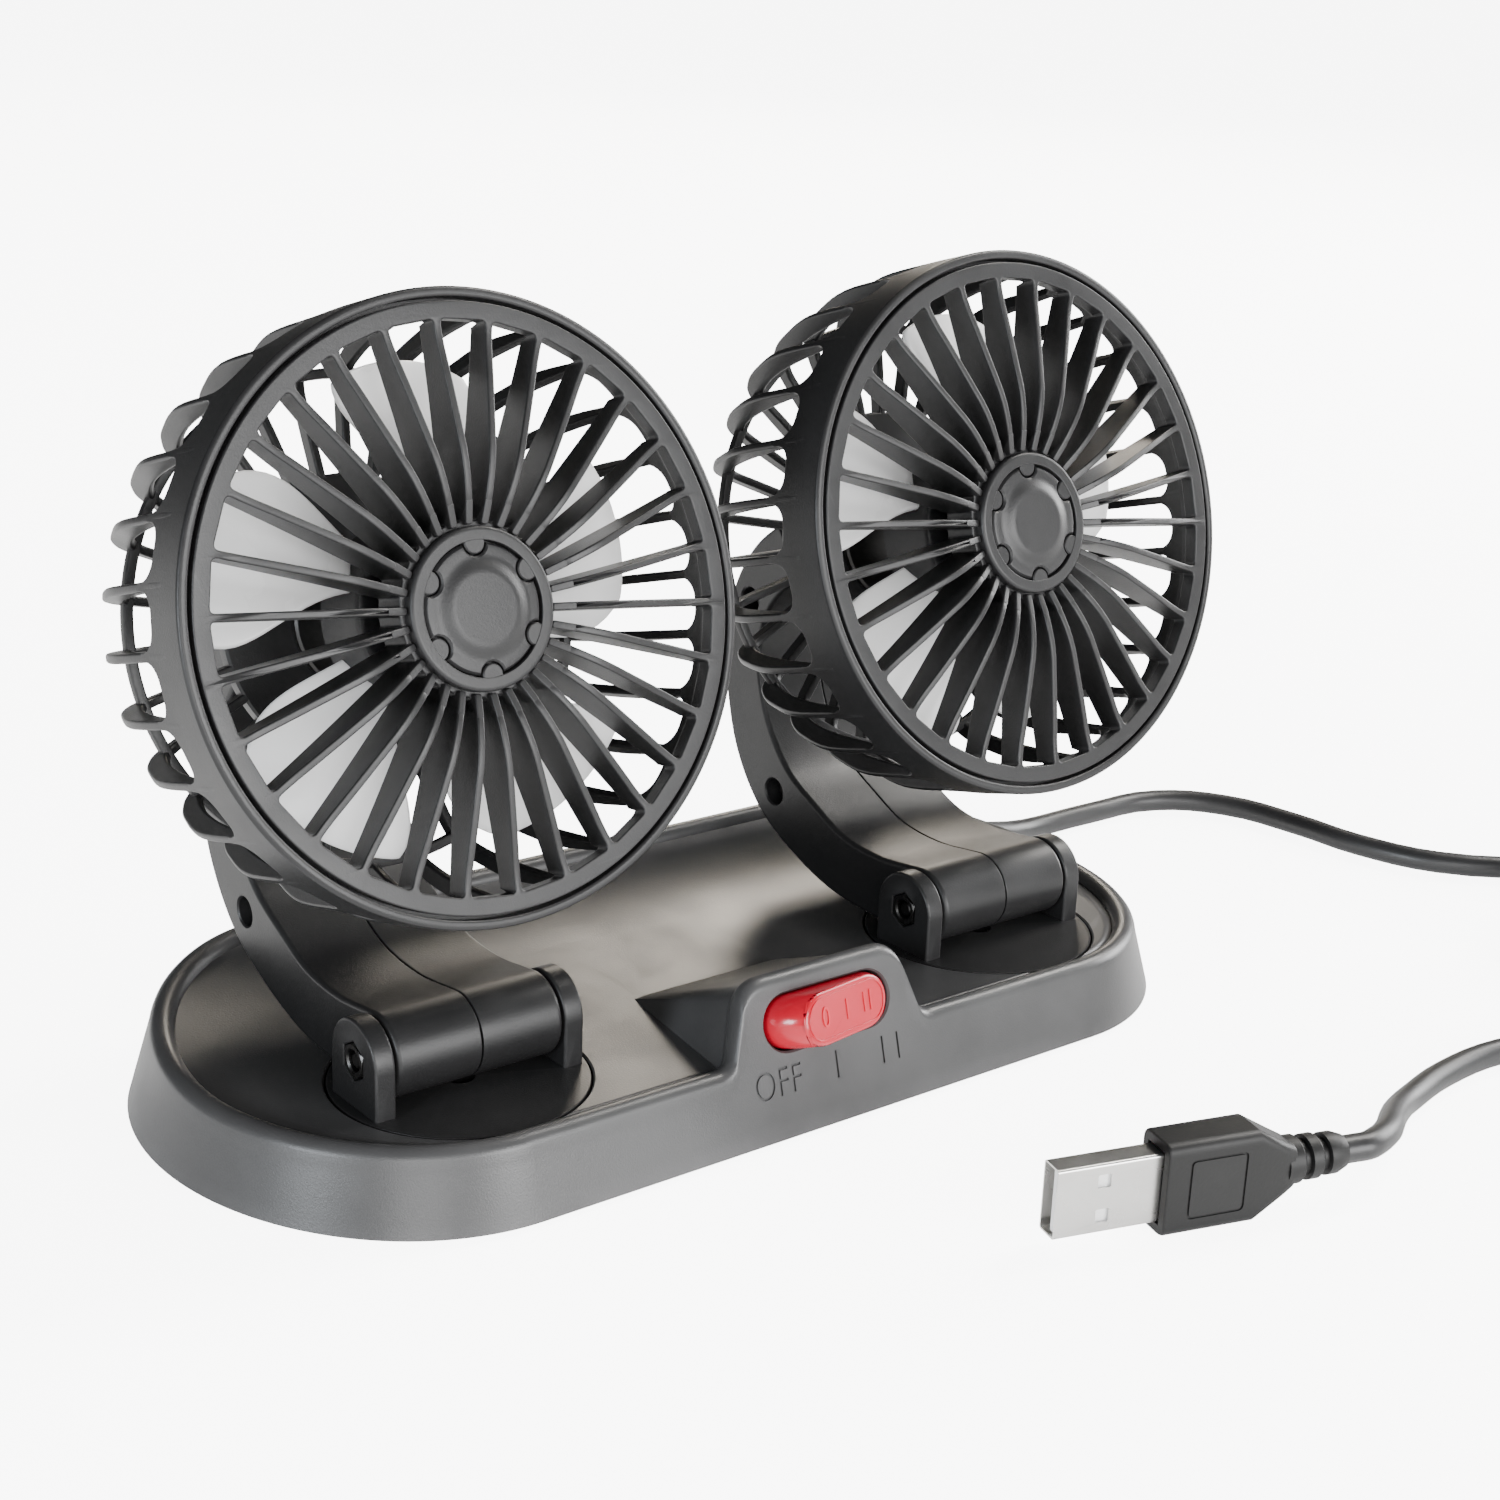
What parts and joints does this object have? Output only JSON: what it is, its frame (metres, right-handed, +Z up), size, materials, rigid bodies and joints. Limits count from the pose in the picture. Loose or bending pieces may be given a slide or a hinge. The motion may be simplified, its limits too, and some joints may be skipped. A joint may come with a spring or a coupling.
{
  "type": "dual head car fan",
  "caption": "Low dished base with a rocker switch carries two caged fan heads on curved arms that swivel and tilt, with a cord ending in a flat plug.",
  "frame": {"origin": "centre of the base's underside, on the plane it stands on", "axes": "+X along the base to the viewer's right, +Y to the back, +Z up; the switch faces -Y"},
  "size_m": [0.3368, 0.1708, 0.1401],
  "materials": {
    "grey_abs": "satin",
    "dark_abs": "matte",
    "steel": "bright",
    "white_plastic": "satin",
    "red_plastic": "gloss",
    "black_rubber": "matte",
    "board": "matte"
  },
  "bodies": {
    "base": {"base_shell": "grey_abs", "base_plate": "dark_abs", "antislip_pad": "black_rubber", "base_screw_1": "steel", "base_screw_2": "steel", "base_screw_3": "steel", "base_screw_4": "steel", "circuit_board": "board", "switch_body": "dark_abs", "cord_grommet": "black_rubber", "cord_from_base": "black_rubber", "cord_coil": "black_rubber", "cord_to_plug": "black_rubber", "coil_tie": "dark_abs", "plug_overmold": "black_rubber", "plug_shell": "steel", "plug_tongue": "white_plastic"},
    "rocker": {"rocker_button": "red_plastic"},
    "left_turntable_body": {"left_turntable": "grey_abs", "left_turntable_clip": "steel", "left_hinge_bolt": "steel", "left_hinge_nut": "steel"},
    "left_head": {"left_arm_left_shell": "grey_abs", "left_arm_right_shell": "grey_abs", "left_arm_screw_1": "steel", "left_arm_screw_2": "steel", "left_rear_cage": "grey_abs", "left_front_grille": "grey_abs", "left_grille_cap": "grey_abs", "left_motor_can": "steel"},
    "left_fan_body": {"left_fan": "white_plastic", "left_fan_hub": "dark_abs", "left_motor_shaft": "steel"},
    "right_turntable_body": {"right_turntable": "grey_abs", "right_turntable_clip": "steel", "right_hinge_bolt": "steel", "right_hinge_nut": "steel"},
    "right_head": {"right_arm_left_shell": "grey_abs", "right_arm_right_shell": "grey_abs", "right_arm_screw_1": "steel", "right_arm_screw_2": "steel", "right_rear_cage": "grey_abs", "right_front_grille": "grey_abs", "right_grille_cap": "grey_abs", "right_motor_can": "steel"},
    "right_fan_body": {"right_fan": "white_plastic", "right_fan_hub": "dark_abs", "right_motor_shaft": "steel"}
  },
  "joints": [
    {"name": "rocker_switch", "type": "hinge", "parent": "base", "child": "rocker", "pos_m": [0, -0.03983, 0.01821], "axis": [0, 0.2756, 0.9613], "range_deg": [-28, 0]},
    {"name": "left_swivel", "type": "hinge", "parent": "base", "child": "left_turntable_body", "pos_m": [-0.05785, -0.0192, 0.0127], "axis": [0, 0, 1], "range_deg": [-45, 90]},
    {"name": "left_tilt", "type": "hinge", "parent": "left_turntable_body", "child": "left_head", "pos_m": [-0.05785, -0.0192, 0.0206], "axis": [1, 0, 0], "range_deg": [0, 30]},
    {"name": "left_fan_spin", "type": "hinge", "parent": "left_head", "child": "left_fan_body", "pos_m": [-0.05785, -0.0245, 0.093], "axis": [0, -0.9613, 0.2756], "continuous": true},
    {"name": "right_swivel", "type": "hinge", "parent": "base", "child": "right_turntable_body", "pos_m": [0.05785, -0.0192, 0.0127], "axis": [0, 0, 1], "range_deg": [-90, 45]},
    {"name": "right_tilt", "type": "hinge", "parent": "right_turntable_body", "child": "right_head", "pos_m": [0.05785, -0.0192, 0.0206], "axis": [1, 0, 0], "range_deg": [0, 30]},
    {"name": "right_fan_spin", "type": "hinge", "parent": "right_head", "child": "right_fan_body", "pos_m": [0.05785, -0.0245, 0.093], "axis": [0, -0.9613, 0.2756], "continuous": true}
  ]
}
